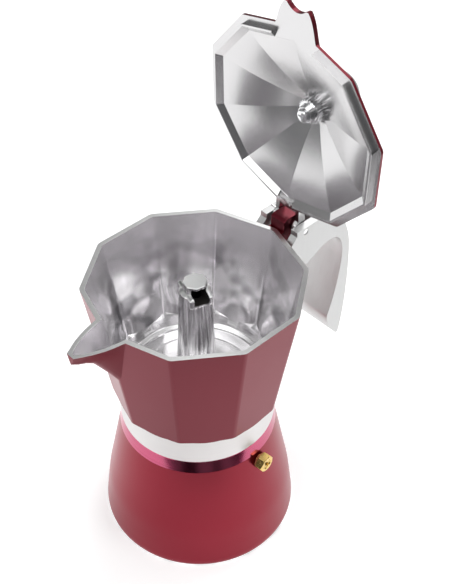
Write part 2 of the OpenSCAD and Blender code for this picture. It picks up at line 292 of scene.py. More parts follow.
def joined(shapes):
    """Lays shapes side by side in one mesh, with no boolean."""
    total = shapes[0]
    for shape in shapes[1:]:
        mesh = bpy.data.meshes.new("shape")
        shape.to_mesh(mesh)
        shape.free()
        total.from_mesh(mesh)
        bpy.data.meshes.remove(mesh)
    return total


def piece(bm, name, finishes, body, stands_for=(), crease=32):
    """Makes a finished piece of the pot from a shape in millimetres."""
    bmesh.ops.scale(bm, vec=(MM, MM, MM), verts=bm.verts)
    mesh = bpy.data.meshes.new(name)
    bm.to_mesh(mesh)
    bm.free()
    for finish in finishes:
        mesh.materials.append(finish)
    mesh.shade_smooth()
    mesh.set_sharp_from_angle(angle=math.radians(crease))
    made = bpy.data.objects.new(name, mesh)
    bpy.context.scene.collection.objects.link(made)
    even = made.modifiers.new("even_shading", "WEIGHTED_NORMAL")
    even.keep_sharp = True
    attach(made, body)
    if stands_for:
        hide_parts(*stands_for)
    return made


# ---------------------------------------------------------------- finishes

def shader(name, **sockets):
    """A material with its Principled sockets set, and a quick way to add nodes to it."""
    material = bpy.data.materials.new(name)
    material.use_nodes = True
    tree = material.node_tree
    main = next(n for n in tree.nodes if n.type == "BSDF_PRINCIPLED")
    for key, value in sockets.items():
        main.inputs[key.replace("_", " ")].default_value = value
    return material, tree, main


def node(tree, kind, links=(), **settings):
    """Adds a node, sets its inputs by name and its options by attribute."""
    made = tree.nodes.new(kind)
    for key, value in settings.items():
        if key in made.inputs:
            made.inputs[key].default_value = value
        else:
            setattr(made, key, value)
    for socket, source in links:
        tree.links.new(source, made.inputs[socket])
    return made


def grain(tree, scale, stretch=(1, 1, 1), detail=3.0, rough=0.5):
    """Noise on Object coordinates, longer along an axis where stretch is small."""
    place = node(tree, "ShaderNodeTexCoord")
    fit = node(tree, "ShaderNodeMapping", [("Vector", place.outputs["Object"])])
    fit.inputs["Scale"].default_value = stretch
    return node(
        tree, "ShaderNodeTexNoise", [("Vector", fit.outputs["Vector"])],
        Scale=scale, Detail=detail, Roughness=rough,
    )


def spread(tree, source, low, high, start=0.3, stop=0.7):
    """Maps a grey value from start..stop to low..high."""
    return node(
        tree, "ShaderNodeMapRange", [("Value", source)],
        **{"From Min": start, "From Max": stop, "To Min": low, "To Max": high},
    ).outputs["Result"]


def relief(tree, main, source, strength, depth, before=None):
    """Adds a bump of this depth in metres."""
    made = node(
        tree, "ShaderNodeBump", [("Height", source)], Strength=strength, Distance=depth,
    )
    if before is not None:
        tree.links.new(before.outputs["Normal"], made.inputs["Normal"])
    tree.links.new(made.outputs["Normal"], main.inputs["Normal"])
    return made


def colour_mix(tree, main, source, low, high):
    """Colour between two tones by a grey value."""
    ramp = node(tree, "ShaderNodeValToRGB", [("Fac", source)])
    ramp.color_ramp.elements[0].color = (*low, 1)
    ramp.color_ramp.elements[1].color = (*high, 1)
    tree.links.new(ramp.outputs["Color"], main.inputs["Base Color"])
    return ramp


def distance_from_axis(tree):
    """How far a point is from the pot's axis, in metres."""
    place = node(tree, "ShaderNodeTexCoord")
    split = node(tree, "ShaderNodeSeparateXYZ", [("Vector", place.outputs["Object"])])
    flat = node(
        tree, "ShaderNodeCombineXYZ",
        [("X", split.outputs["X"]), ("Y", split.outputs["Y"])],
    )
    return node(
        tree, "ShaderNodeVectorMath", [(0, flat.outputs["Vector"])], operation="LENGTH",
    ).outputs["Value"]


def red_anodised(name, deep, light, coat):
    """Satin metallic red with a fine blasted grain under a clear sealed skin."""
    material, tree, main = shader(
        name, Metallic=1.0, Roughness=0.34, Specular_Tint=(1, 0.78, 0.8, 1),
        Coat_Weight=coat, Coat_Roughness=0.2, Coat_IOR=1.5,
    )
    cloud = grain(tree, 22, detail=4)
    colour_mix(tree, main, cloud.outputs["Fac"], deep, light)
    fine = grain(tree, 2600, detail=2)
    tree.links.new(spread(tree, cloud.outputs["Fac"], 0.3, 0.37), main.inputs["Roughness"])
    relief(tree, main, fine.outputs["Fac"], 0.35, 0.00002)
    return material


def red_bevel():
    """The shoulder's bevel, cut bright before the red was put on."""
    material, tree, main = shader(
        "red_bevel", Metallic=1.0, Roughness=0.14, Coat_Weight=1.0, Coat_Roughness=0.08, Coat_IOR=1.5,
    )
    rings = grain(tree, 900, (0.01, 0.01, 1.6), detail=2)
    colour_mix(tree, main, rings.outputs["Fac"], (0.4, 0.03, 0.09), (0.55, 0.08, 0.19))
    relief(tree, main, rings.outputs["Fac"], 0.25, 0.00004)
    return material


def cast_aluminium():
    """Bare tumbled aluminium inside the pot: soft, slightly wavy reflections, and painted dark
    reflections as blotches in its colour, strongest low in the pot.
    """
    material, tree, main = shader("cast_aluminium", Metallic=0.84, Roughness=0.15)
    place = node(tree, "ShaderNodeTexCoord")
    split = node(tree, "ShaderNodeSeparateXYZ", [("Vector", place.outputs["Object"])])
    deep = spread(tree, split.outputs["Z"], 1, 0.05, 0.112, 0.162)
    streak = grain(tree, 300, (1, 1, 0.03), detail=3)
    # Painted dark reflections: blotches that darken the colour, at full strength low in the pot and
    # faint near the rim.
    painted_reflection_blotch = grain(tree, 62, (1, 1, 1.3), detail=1)
    tone = node(tree, "ShaderNodeMath", [
        (0, deep), (1, spread(tree, painted_reflection_blotch.outputs["Fac"], -0.9, 0, 0.36, 0.52)),
        (2, spread(tree, streak.outputs["Fac"], 0.86, 1)),
    ], operation="MULTIPLY_ADD", use_clamp=True)
    colour_mix(tree, main, tone.outputs["Value"], (0.3, 0.29, 0.31), (0.99, 0.97, 0.99))
    tree.links.new(spread(tree, split.outputs["Z"], 0.1, 0.26, 0.118, 0.16), main.inputs["Roughness"])
    wave = grain(tree, 36, (1, 1, 0.8), detail=1)
    dents = node(
        tree, "ShaderNodeMath", [(0, wave.outputs["Fac"]), (1, deep)], operation="MULTIPLY",
    )
    fine = grain(tree, 1500, detail=3)
    first = relief(tree, main, dents.outputs["Value"], 0.8, 0.003)
    relief(tree, main, fine.outputs["Fac"], 0.12, 0.00003, first)
    return material


def machined_band():
    """Aluminium turned on a lathe, with fine rings round the pot."""
    material, tree, main = shader("machined_band", Metallic=1.0, Roughness=0.42)
    rings = grain(tree, 900, (0.01, 0.01, 1.6), detail=2)
    colour_mix(tree, main, rings.outputs["Fac"], (0.68, 0.67, 0.67), (0.78, 0.77, 0.76))
    tree.links.new(spread(tree, rings.outputs["Fac"], 0.36, 0.5), main.inputs["Roughness"])
    relief(tree, main, rings.outputs["Fac"], 0.3, 0.00004)
    return material


def turned_floor():
    """Lathe-turned aluminium floor with concentric tool lines."""
    material, tree, main = shader("turned_floor", Metallic=1.0, Roughness=0.16)
    rings_per_metre = 2600
    step = node(tree, "ShaderNodeMath", [(0, distance_from_axis(tree))], operation="MULTIPLY")
    step.inputs[1].default_value = rings_per_metre
    lines = node(
        tree, "ShaderNodeTexNoise", [("W", step.outputs["Value"])],
        noise_dimensions="1D", Scale=1.0, Detail=2.0,
    )
    colour_mix(tree, main, lines.outputs["Fac"], (0.8, 0.8, 0.8), (0.92, 0.92, 0.92))
    tree.links.new(spread(tree, lines.outputs["Fac"], 0.12, 0.22), main.inputs["Roughness"])
    relief(tree, main, lines.outputs["Fac"], 0.25, 0.00005)
    return material


def polished_column():
    """Cast aluminium polished lengthways, which leaves long streaks up the column; the strong dark and
    bright tones of these streaks in the colour are partly painted reflection.
    """
    material, tree, main = shader("polished_column", Metallic=1.0, Roughness=0.2)
    streak = grain(tree, 560, (1, 1, 0.022), detail=2, rough=0.5)
    clear = spread(tree, streak.outputs["Fac"], 0, 1, 0.36, 0.64)
    # The streaks' colour runs from dark grey to near white: real polish lines, with painted reflection
    # in their strong contrast.
    colour_mix(tree, main, clear, (0.28, 0.27, 0.28), (0.97, 0.96, 0.97))
    tree.links.new(spread(tree, streak.outputs["Fac"], 0.12, 0.26), main.inputs["Roughness"])
    relief(tree, main, streak.outputs["Fac"], 1.0, 0.0011)
    return material


def bore_painted_shade():
    """The riser's passage and window openings, painted near-black as the shade inside the narrow bore.
    """
    material, tree, main = shader("bore_painted_shade", Metallic=0.4, Roughness=0.6)
    shade_mottle = grain(tree, 420, detail=4)
    colour_mix(tree, main, shade_mottle.outputs["Fac"], (0.006, 0.005, 0.005), (0.022, 0.018, 0.016))
    relief(tree, main, shade_mottle.outputs["Fac"], 0.3, 0.0001)
    return material


def faced_metal():
    """Aluminium faced in one pass, on the pot's rim and the riser's flat top."""
    material, tree, main = shader("faced_metal", Metallic=1.0, Roughness=0.3)
    lines = grain(tree, 1400, (1, 0.05, 1), detail=2)
    colour_mix(tree, main, lines.outputs["Fac"], (0.7, 0.705, 0.7), (0.8, 0.805, 0.8))
    relief(tree, main, lines.outputs["Fac"], 0.2, 0.00003)
    return material


def satin_lid():
    """The lid's bare inside: satin sheet with a faint radial grain."""
    material, tree, main = shader("satin_lid_inside", Metallic=1.0, Roughness=0.28)
    cloud = grain(tree, 30, detail=3)
    colour_mix(tree, main, cloud.outputs["Fac"], (0.63, 0.625, 0.63), (0.7, 0.695, 0.7))
    tree.links.new(spread(tree, cloud.outputs["Fac"], 0.2, 0.265, 0.1, 0.9), main.inputs["Roughness"])
    fine = grain(tree, 1900, detail=3)
    relief(tree, main, fine.outputs["Fac"], 0.25, 0.00002)
    return material


def satin_silver():
    """The handle's satin chromed finish with faint lengthways lines."""
    material, tree, main = shader("satin_silver", Metallic=0.9, Roughness=0.36)
    lines = grain(tree, 420, (1, 1, 0.02), detail=3)
    colour_mix(tree, main, lines.outputs["Fac"], (0.57, 0.57, 0.57), (0.65, 0.655, 0.65))
    tree.links.new(spread(tree, lines.outputs["Fac"], 0.32, 0.42), main.inputs["Roughness"])
    relief(tree, main, lines.outputs["Fac"], 0.15, 0.00006)
    return material


def polished_steel():
    """Bright steel with fine wipe marks."""
    material, tree, main = shader("polished_steel", Metallic=1.0, Roughness=0.1)
    marks = grain(tree, 700, (1, 0.2, 1), detail=3)
    colour_mix(tree, main, marks.outputs["Fac"], (0.8, 0.8, 0.81), (0.88, 0.88, 0.89))
    tree.links.new(spread(tree, marks.outputs["Fac"], 0.06, 0.16), main.inputs["Roughness"])
    relief(tree, main, marks.outputs["Fac"], 0.1, 0.00003)
    return material


def spring_steel():
    """Drawn spring wire."""
    material, tree, main = shader("spring_steel", Metallic=1.0, Roughness=0.25)
    marks = grain(tree, 1500, detail=2)
    colour_mix(tree, main, marks.outputs["Fac"], (0.5, 0.5, 0.52), (0.66, 0.66, 0.67))
    relief(tree, main, marks.outputs["Fac"], 0.1, 0.00002)
    return material


def pressed_aluminium():
    """Pressed sheet aluminium with faint draw lines."""
    material, tree, main = shader("pressed_aluminium", Metallic=1.0, Roughness=0.3)
    lines = grain(tree, 240, (1, 1, 0.08), detail=3)
    colour_mix(tree, main, lines.outputs["Fac"], (0.7, 0.71, 0.72), (0.82, 0.83, 0.84))
    tree.links.new(spread(tree, lines.outputs["Fac"], 0.28, 0.38), main.inputs["Roughness"])
    relief(tree, main, lines.outputs["Fac"], 0.15, 0.00005)
    return material


def brass():
    """Turned brass with a little tarnish."""
    material, tree, main = shader("turned_brass", Metallic=1.0, Roughness=0.2)
    cloud = grain(tree, 500, detail=3)
    colour_mix(tree, main, cloud.outputs["Fac"], (0.62, 0.4, 0.11), (0.84, 0.62, 0.24))
    tree.links.new(spread(tree, cloud.outputs["Fac"], 0.14, 0.26), main.inputs["Roughness"])
    fine = grain(tree, 3000, detail=2)
    relief(tree, main, fine.outputs["Fac"], 0.15, 0.00002)
    return material


def fibre():
    """Pressed red fibre of the valve's washer."""
    material, tree, main = shader("pressed_fibre", Roughness=0.8)
    flecks = grain(tree, 2500, detail=4)
    colour_mix(tree, main, flecks.outputs["Fac"], (0.32, 0.07, 0.03), (0.5, 0.14, 0.07))
    relief(tree, main, flecks.outputs["Fac"], 0.4, 0.00005)
    return material


def silicone():
    """Off-white food silicone."""
    material, tree, main = shader(
        "food_silicone", Roughness=0.55, Subsurface_Weight=0.15, Subsurface_Scale=0.002,
    )
    cloud = grain(tree, 160, detail=3)
    colour_mix(tree, main, cloud.outputs["Fac"], (0.82, 0.81, 0.76), (0.9, 0.89, 0.86))
    relief(tree, main, grain(tree, 1800).outputs["Fac"], 0.2, 0.00003)
    return material


def studio_floor():
    """Plain pale sweep."""
    material, tree, main = shader(
        "studio_floor", Roughness=0.9, Specular_IOR_Level=0.1,
        Emission_Color=(1, 1, 1, 1), Emission_Strength=0.34,
    )
    cloud = grain(tree, 3, detail=2)
    colour_mix(tree, main, cloud.outputs["Fac"], (0.93, 0.93, 0.93), (0.95, 0.95, 0.95))
    return material


# ---------------------------------------------------------------- boiler

BELL = [
    (50.1, 0), (52.4, 0.8), (FOOT_R - 0.1, 3), (52.7, 8), (51.7, 16), (50.3, 26),
    (47.7, 39), (44.9, 53), (42.6, 64.3), (SHOULDER_R, SHOULDER_Z),
]


def make_boiler(red, bare, glossy):
    """The bell-shaped boiler with its foot ring, its bevelled shoulder and its open neck."""
    recess_r, recess_z, wall = 40.0, 0.8, 2.6
    skin = flowing(BELL, 4)
    foot = rounded([
        (0, recess_z, 0), (recess_r, recess_z, 0.4), (recess_r + 0.9, 0, 0.3), (*BELL[0], 0),
    ], closed=False)
    neck = rounded([
        (SHOULDER_R, SHOULDER_Z, 0), (LEDGE_R, LEDGE_Z, 0.35), (NECK_R, LEDGE_Z, 0.4),
        (NECK_R, NECK_TOP, 0.5), (NECK_BORE, NECK_TOP, 0.4), (NECK_BORE, 62.5, 2),
        (44.9 - wall, 53, 3), (50.3 - wall, 26, 6), (52.3 - wall, 8, 3), (46.5, wall, 4),
        (0, wall, 0),
    ], closed=False)
    bm = turned(foot[:-1] + skin[:-1] + neck)
    skin_depth, red_from, red_to = 1.2, 1.4, LEDGE_Z - 0.02
    for face in bm.faces:
        middle = face.calc_center_median()
        near_skin = math.hypot(middle.x, middle.y) > bell_radius(middle.z) - skin_depth
        face.material_index = RED if near_skin and red_from < middle.z < red_to else BARE
    valve_hole_r = 3.2
    bm = carved(bm, moved(rod(valve_hole_r, 30, 60), valve_place()), "DIFFERENCE")
    for face in bm.faces:
        if face.material_index == RED and SHOULDER_Z < face.calc_center_median().z < LEDGE_Z:
            face.material_index = BAND
    piece(bm, "boiler_shell", [red, bare, glossy], "boiler", ["boiler"], crease=12)


def bell_radius(z):
    """Radius of the boiler's skin at a height."""
    if z > SHOULDER_Z:
        return SHOULDER_R + (LEDGE_R - SHOULDER_R) * (z - SHOULDER_Z) / (LEDGE_Z - SHOULDER_Z)
    for (r0, z0), (r1, z1) in zip(BELL, BELL[1:]):
        if z0 <= z <= z1:
            return r0 + (r1 - r0) * (z - z0) / (z1 - z0)
    return BELL[0][0]


def thread(root_r, crest_r, start_z, turns):
    """A rounded thread that climbs one pitch a turn."""
    steps = int(72 * turns)
    base, crest = 1.1, 0.5
    bm = bmesh.new()
    ring = [
        (root_r, -base), (crest_r, -crest), (crest_r, crest), (root_r, base),
    ]
    verts = [bm.verts.new((r, 0, start_z + z)) for r, z in ring]
    edges = [bm.edges.new((verts[i], verts[(i + 1) % 4])) for i in range(4)]
    bmesh.ops.spin(
        bm, geom=verts + edges, cent=(0, 0, 0), axis=(0, 0, 1), angle=2 * math.pi * turns,
        steps=steps, dvec=(0, 0, THREAD_PITCH * turns / steps), use_merge=False,
    )
    bmesh.ops.holes_fill(bm, edges=[e for e in bm.edges if len(e.link_faces) == 1], sides=4)
    return tidied(bm)


# ---------------------------------------------------------------- safety valve

def valve_place():
    """Carries a shape drawn along +Z out of the pot's axis to the valve's own line."""
    out = Vector(VALVE["axis"]).normalized()
    turn = out.to_track_quat("Z", "Y").to_matrix().to_4x4()
    return Matrix.Translation((0, 0, VALVE_Z)) @ turn


def make_valve(brass_finish):
    """Brass hexagon with turned chamfers, a sunk face with a vent, and its threaded shank."""
    corner_r, foot_z = VALVE_FLATS / math.sqrt(3), VALVE_SKIN + 0.6
    hexagon = stacked([(corner_r, foot_z), (corner_r, VALVE_FACE)], 0.15, sides=6, parts=2)
    shape = turned(rounded([
        (0, foot_z, 0), (4.4, foot_z, 0), (5.3, VALVE_SKIN + 1.2, 0),
        (5.3, VALVE_FACE - 0.7, 0), (4.3, VALVE_FACE, 0.15), (2.9, VALVE_FACE, 0.15),
        (2.5, VALVE_FACE - 0.6, 0.2), (0, VALVE_FACE - 0.6, 0),
    ], closed=False), 72)
    bm = carved(hexagon, shape, "INTERSECT")
    shank_r, bore_r, shank_end, shank_root = 3.05, 1.2, VALVE_SKIN - 5, VALVE_SKIN + 0.8
    shank = turned(rounded([
        (bore_r, shank_end, 0), (shank_r, shank_end, 0.3), (shank_r, shank_root, 0),
        (bore_r, shank_root, 0),
    ]), 48, closed=True)
    bore = turned([
        (0, VALVE_SKIN - 5.5), (2.2, VALVE_SKIN - 5.5), (2.2, VALVE_FACE - 1.6),
        (1.15, VALVE_FACE - 1.2), (1.15, VALVE_FACE + 1), (0, VALVE_FACE + 1),
    ], 48)
    bm = carved(carved(bm, shank, "UNION"), bore, "DIFFERENCE")
    piece(moved(bm, valve_place()), "valve_hexagon", [brass_finish], "boiler", ["valve_body"])


# ---------------------------------------------------------------- funnel

def make_funnel(sheet):
    """The pressed funnel bowl with its rolled edge."""
    bowl_r, wall, floor_z, flange_r = NECK_BORE - 0.5, 0.8, 60.0, 37.4
    bm = turned(rounded([
        (5.5, floor_z - 7, 0), (6.3, floor_z - 7, 0), (bowl_r - 4, floor_z - 1, 2.5),
        (bowl_r, floor_z + 3, 2), (bowl_r, NECK_TOP, 0.3), (flange_r, NECK_TOP, 0.3),
        (flange_r, NECK_TOP + 0.9, 0.4), (bowl_r - wall, NECK_TOP + 0.9, 0.6),
        (bowl_r - wall, floor_z + 3, 1.6), (bowl_r - 4 - wall, floor_z, 2),
        (5.5, floor_z - 6, 0),
    ]), closed=True)
    piece(bm, "funnel_basket", [sheet], "funnel", ["funnel_bowl"])


# ---------------------------------------------------------------- upper vessel

# The spout from root to tip: distance from the axis, half its width at the rim and its keel's height
SPOUT = [
    (40.0, 13.2, 112.0), (46.0, 11.9, 122.0), (51.7, 10.6, 131.4), (56.0, 9.7, 138.6),
    (60.4, 8.7, 145.4), (63.9, 7.5, 150.6), (68.3, 5.8, 153.8), (72.2, 3.9, 155.6),
    (SPOUT_TIP - 0.5, 2.2, 157.9),
]


def spout_form(shrink, finish):
    """A V-shaped beak with a rounded keel; shrink makes the hollow inside it."""
    bm = bmesh.new()
    top = RIM_Z + 6
    soft, spokes = 0.16, 10
    loops = []
    stations = SPOUT if not shrink else [
        (d - (1.6 if i == len(SPOUT) - 1 else 0), w, k) for i, (d, w, k) in enumerate(SPOUT)
    ]
    for distance, half, keel in stations:
        low = keel + shrink * 1.25
        width = max(half - shrink * 1.08, 0.35)
        reach = (top - low) / (RIM_Z - low)
        loop = []
        for k in range(-spokes, spokes + 1):
            t = k / spokes
            lift = (math.sqrt(t * t + soft * soft) - soft) / (math.sqrt(1 + soft * soft) - soft)
            loop.append(bm.verts.new((-distance, width * reach * t, low + (top - low) * lift)))
        loops.append(loop)
    rings = []
    for loop in loops:
        rings.append([bm.edges.new((loop[i], loop[(i + 1) % len(loop)])) for i in range(len(loop))])
    for first, second in zip(rings, rings[1:]):
        bmesh.ops.bridge_loops(bm, edges=first + second)
    bm.faces.new(loops[0])
    bm.faces.new(loops[-1])
    return tidied(bm, finish)


def make_lug():
    """The cast lug that the lid's ears straddle."""
    front, back, top = RIM_R + 0.5, PIN.x + 4.8, PIN.z + 5.5
    corners = [
        (RIM_R - 6, 138, 0), (RIM_R - 1.6, RIM_Z, 0), (front, RIM_Z, 0), (front, top - 1.2, 0.6),
        (front + 1.6, top, 0.8), (back - 3, top, 2.4), (back, top - 4, 2.4), (back, PIN.z - 6, 1),
    ]
    bm = plank(rounded(corners), -LUG_W / 2, LUG_W / 2, RED)
    ends = [
        e for e in sharp_edges(bm, 60)
        if abs(e.verts[0].co.y - e.verts[1].co.y) < 0.01
    ]
    bevelled(bm, ends, 0.5, 2)
    return tidied(bm, RED)


def make_vessel(red, bare, band, floor, rim):
    """The ten-sided upper pot: facets cut by the lathe at their foot, spout, lug and skirt."""
    spare = 5
    low_r = CREASE_R - TAPER * (CREASE_Z - BAND_TOP_Z)
    high_z = RIM_Z + spare
    bm = stacked([(low_r, BAND_TOP_Z), (RIM_R + TAPER * spare, high_z)], 1.25, RED, parts=5)
    flare = turned([
        (0, BAND_TOP_Z - 1), (BAND_TOP_R - 0.5, BAND_TOP_Z - 1), (BAND_TOP_R, BAND_TOP_Z),
        (BAND_TOP_R + 0.9, BAND_TOP_Z + 1.4), (CREASE_R + 0.8, CREASE_Z + 0.6),
        (RIM_R + 5, CREASE_Z + 6), (RIM_R + 8, high_z + 4), (0, high_z + 4),
    ], finish=BAND)
    bm = carved(bm, flare, "INTERSECT")
    bm = carved(bm, spout_form(0, RED), "UNION")
    ring = turned(rounded([
        (0, BAND_Z, 0), (BAND_R, BAND_Z, 0.4), (BAND_TOP_R, BAND_TOP_Z, 0),
        (BAND_TOP_R - 3, BAND_TOP_Z + 1.2, 0), (0, BAND_TOP_Z + 1.2, 0),
    ], closed=False), finish=BAND)
    bm = carved(bm, ring, "UNION")
    hollow = stacked([
        (CREASE_R + TAPER * (FLOOR_Z - 2 - CREASE_Z) - WALL - 1.2, FLOOR_Z - 2),
        (RIM_R - WALL + TAPER * 2 + TAPER * 5, RIM_Z + 7),
    ], 0.9, BARE, parts=4)
    beyond_r, beyond_z = 70, RIM_Z + 12
    pan = turned(rounded([
        (0, FLOOR_Z, 0), (29.2, FLOOR_Z, 0), (29.6, FLOOR_Z + 0.7, 0.2), (35.4, FLOOR_Z + 1.0, 0.3),
        (35.9, FLOOR_Z + 1.8, 0.3), (38.2, FLOOR_Z + 2.6, 1.5), (40.6, FLOOR_Z + 7.0, 0),
        (beyond_r, FLOOR_Z + 40, 0), (beyond_r, beyond_z, 0), (0, beyond_z, 0),
    ], closed=False), finish=TURNED)
    hollow = carved(hollow, pan, "INTERSECT")
    bm = carved(bm, hollow, "DIFFERENCE")
    bm = carved(bm, spout_form(1.9, BARE), "DIFFERENCE")
    above = block((-120, -120, RIM_Z), (120, 120, RIM_Z + 40), BARE)
    bm = carved(bm, above, "DIFFERENCE")
    bm = carved(bm, make_lug(), "UNION")
    bore = turned(rounded([
        (0, BAND_Z - 2, 0), (SKIRT_BORE + 0.6, BAND_Z - 2, 0), (SKIRT_BORE + 0.6, BAND_Z, 0),
        (SKIRT_BORE, BAND_Z + 0.8, 0), (SKIRT_BORE, LAND_Z, 0.5), (30.0, LAND_Z, 0.4),
        (RISER_HOLE, LAND_Z + 3.8, 0), (RISER_HOLE, FLOOR_Z + 5, 0), (0, FLOOR_Z + 5, 0),
    ], closed=False), finish=BARE)
    bm = carved(bm, bore, "DIFFERENCE")
    pin = moved(rod(PIN_R, -20, 20), pin_place())
    bm = carved(bm, pin, "DIFFERENCE")
    at_rim = lambda p: abs(p.z - RIM_Z) < 0.01 and p.x < RIM_R - 0.4
    bevelled(bm, sharp_edges(bm, 50, at_rim), 0.28, 2)
    for face in bm.faces:
        on_rim = face.normal.z > 0.6 and face.calc_center_median().z > RIM_Z - 0.4
        if on_rim and face.material_index != RED:
            face.material_index = RIM
    finishes = [red, bare, band, floor, rim]
    piece(bm, "upper_pot", finishes, "upper_vessel", ["vessel"])


def pin_place():
    """Lays a shape drawn along +Z along the hinge pin."""
    turn = PIN_LINE.to_track_quat("Z", "Y").to_matrix().to_4x4()
    return Matrix.Translation(PIN) @ turn


# Directions the riser's two windows face, in degrees about the pot's axis
WINDOWS = (-110, 70)


def make_column(polish, bore_shade_finish, flat):
    """The riser: a tapered cast stem, two hooded windows and a flat eight-sided cap."""
    foot_r, top_r, top_z, shoulder_z = 10.7, 7.9, 162.2, 157.2
    bore_r, window_z, window_w, hood_w = 3.4, 153.9, 7.8, 12.6
    spigot_r, spigot_z, foot_z = RISER_HOLE - 0.02, LAND_Z + 3.8, FLOOR_Z - 0.1
    bm = turned(rounded([
        (0, spigot_z, 0), (spigot_r, spigot_z, 0), (spigot_r, foot_z, 0),
        (foot_r, foot_z, 0), (foot_r - 0.1, FLOOR_Z + 1.5, 0), (top_r, shoulder_z - 0.6, 0.8),
        (6.0, shoulder_z + 0.7, 0.5), (0, shoulder_z + 0.7, 0),
    ], closed=False), 96)
    cap = stacked([(6.15, shoulder_z - 2), (6.15, top_z - 0.35), (5.75, top_z)], 0.3, sides=8, parts=2)
    bmesh.ops.rotate(cap, verts=cap.verts, matrix=Matrix.Rotation(math.radians(10), 3, "Z"))
    bm = carved(bm, cap, "UNION")
    for turn in WINDOWS:
        facing = Matrix.Rotation(math.radians(turn), 4, "Z")
        low, high = (2, -hood_w / 2, window_z - 2.3), (8.9, hood_w / 2, shoulder_z + 0.5)
        hood = block(low, high, corner=1.6)
        bm = carved(bm, moved(hood, facing), "UNION")
    for turn in WINDOWS:
        facing = Matrix.Rotation(math.radians(turn), 4, "Z")
        low, high = (0, -window_w / 2, window_z), (12, window_w / 2, top_z - 1.5)
        window = block(low, high, BARE, 0.8)
        bm = carved(bm, moved(window, facing), "DIFFERENCE")
    bm = carved(bm, rod(bore_r, LAND_Z, window_z + 5, 40, BARE), "DIFFERENCE")
    for face in bm.faces:
        height = face.calc_center_median().z
        facing_up = face.material_index != BARE and face.normal.z > 0.3 and height > window_z - 3
        if facing_up or height > top_z - 0.5:
            face.material_index = BAND
    finishes = [polish, bore_shade_finish, flat]
    piece(bm, "riser_stem", finishes, "upper_vessel", ["riser_column"])


# ---------------------------------------------------------------- handle

def handle_outline():
    """Side view of the handle, from the hinge round the strap and back under the arm."""
    return (
        [Vector((PIN.x - 7.1, 164.2)), Vector((PIN.x - 7.1, 167))]
        + bend((75, 167), (90, 167), (99, 151), (100.2, 133))
        + bend((100.2, 133), (101.4, 115), (101.2, 90), (97.6, 73))[1:]
        + bend((97, 72.2), (96, 71.6), (95.2, 72.4), (94.5, 73.6), 5)
        + bend((94, 74.4), (91, 78), (87, 84), (86.4, 90), 7)
        + bend((86.6, 91), (89, 98), (93.6, 112), (94.6, 130))
        + bend((94.6, 131), (94.6, 142), (91, 148.3), (83, 148.3))
        + bend((82, 148.3), (76, 148), (62, 139), (49.3, 133.5))
        + [Vector((53.3, 160))]
    )


def make_handle(silver):
    """The strap handle, forked round the hinge, with soft edges."""
    bm = plank(handle_outline(), -HANDLE_W / 2, HANDLE_W / 2)
    slot = block((30, -FORK_GAP / 2, 100), (72.5, FORK_GAP / 2, 200))
    bm = carved(bm, slot, "DIFFERENCE")
    bevelled(bm, sharp_edges(bm, 50), 0.8, 3)
    bm = carved(bm, moved(rod(PIN_R, -30, 30), pin_place()), "DIFFERENCE")
    piece(bm, "strap_handle", [silver], "upper_vessel", ["handle"])


# ---------------------------------------------------------------- lid

def open_place():
    """Turns a shape drawn with the lid shut to where the lid stands open."""
    swing = Matrix.Rotation(math.radians(HINGE["range_deg"][1]), 4, PIN_LINE)
    return Matrix.Translation(PIN) @ swing @ Matrix.Translation(-PIN)


def tab_outline():
    """Plan view of the thumb tab with its two horns."""
    half = bend((-49, 12.8), (-54, 10.6), (-61, 10.6), (-65.4, 6.8), 10)
    valley = bend((-65.2, 5.6), (-61.4, 2), (-61.4, -2), (-65.2, -5.6), 10)
    return half + valley + [Vector((p.x, -p.y)) for p in reversed(half)]


def make_lid(red, bare):
    """Ten-sided lid: flange with a slanted lip, faceted cone, thumb tab and two hinge ears."""
    top, tab_top = LID_Z + LID_RIM_H, LID_Z + 2.8
    bm = stacked([(LID_R, LID_Z), (LID_R, top - 0.1), (LID_R - 1.0, top + 0.5)], 1.2, RED, parts=6)
    tab = slab(tab_outline(), LID_Z, tab_top, RED)
    on_top = lambda p: p.z > tab_top - 0.01
    bevelled(tab, sharp_edges(tab, 60, on_top), 0.7, 2)
    bm = carved(bm, tab, "UNION")
    crown = stacked([(CONE_R + 3, LID_Z + 0.3), (8.4, LID_Z + CONE_H + LID_WALL)], 0.5, RED, parts=3)
    bm = carved(bm, crown, "UNION")
    lip = stacked([(SKIRT_R, LID_Z - SKIRT_H), (SKIRT_R, LID_Z + 0.4)], 1.0, BARE, parts=6)
    for from_x, to_x, half_width in ((-70, -30, 11.8), (46, 66, 5)):
        gap = block((from_x, -half_width, LID_Z - 5), (to_x, half_width, LID_Z), BARE)
        lip = carved(lip, gap, "DIFFERENCE")
    bm = carved(bm, lip, "UNION")
    for side in (-1, 1):
        bm = carved(bm, make_ear(side), "UNION")
    mouth = [(SKIRT_R - SKIRT_WALL + 0.6, LID_Z - SKIRT_H - 0.5), (CONE_R, LID_Z + 0.1)]
    hollow = stacked(mouth + cone_rings(7.0, 6), finish=BARE)
    bm = carved(bm, hollow, "DIFFERENCE")
    at_lip = lambda p: p.z < LID_Z - SKIRT_H + 0.05
    bevelled(bm, sharp_edges(bm, 35, at_lip), 0.15, 2)
    bm = carved(bm, hinge_boss(), "UNION")
    bm = carved(bm, rod(3.0, LID_Z + 5, LID_Z + 40, finish=BARE), "DIFFERENCE")
    bm = carved(bm, moved(rod(PIN_R + 0.05, -30, 30, finish=BARE), pin_place()), "DIFFERENCE")
    for face in bm.faces:
        if face.normal.z < -0.9 and face.calc_center_median().z < LID_Z + 0.01:
            face.material_index = BARE
    bm = moved(bm, open_place())
    piece(bm, "lid_shell", [red, bare], "lid", ["lid"], crease=7)


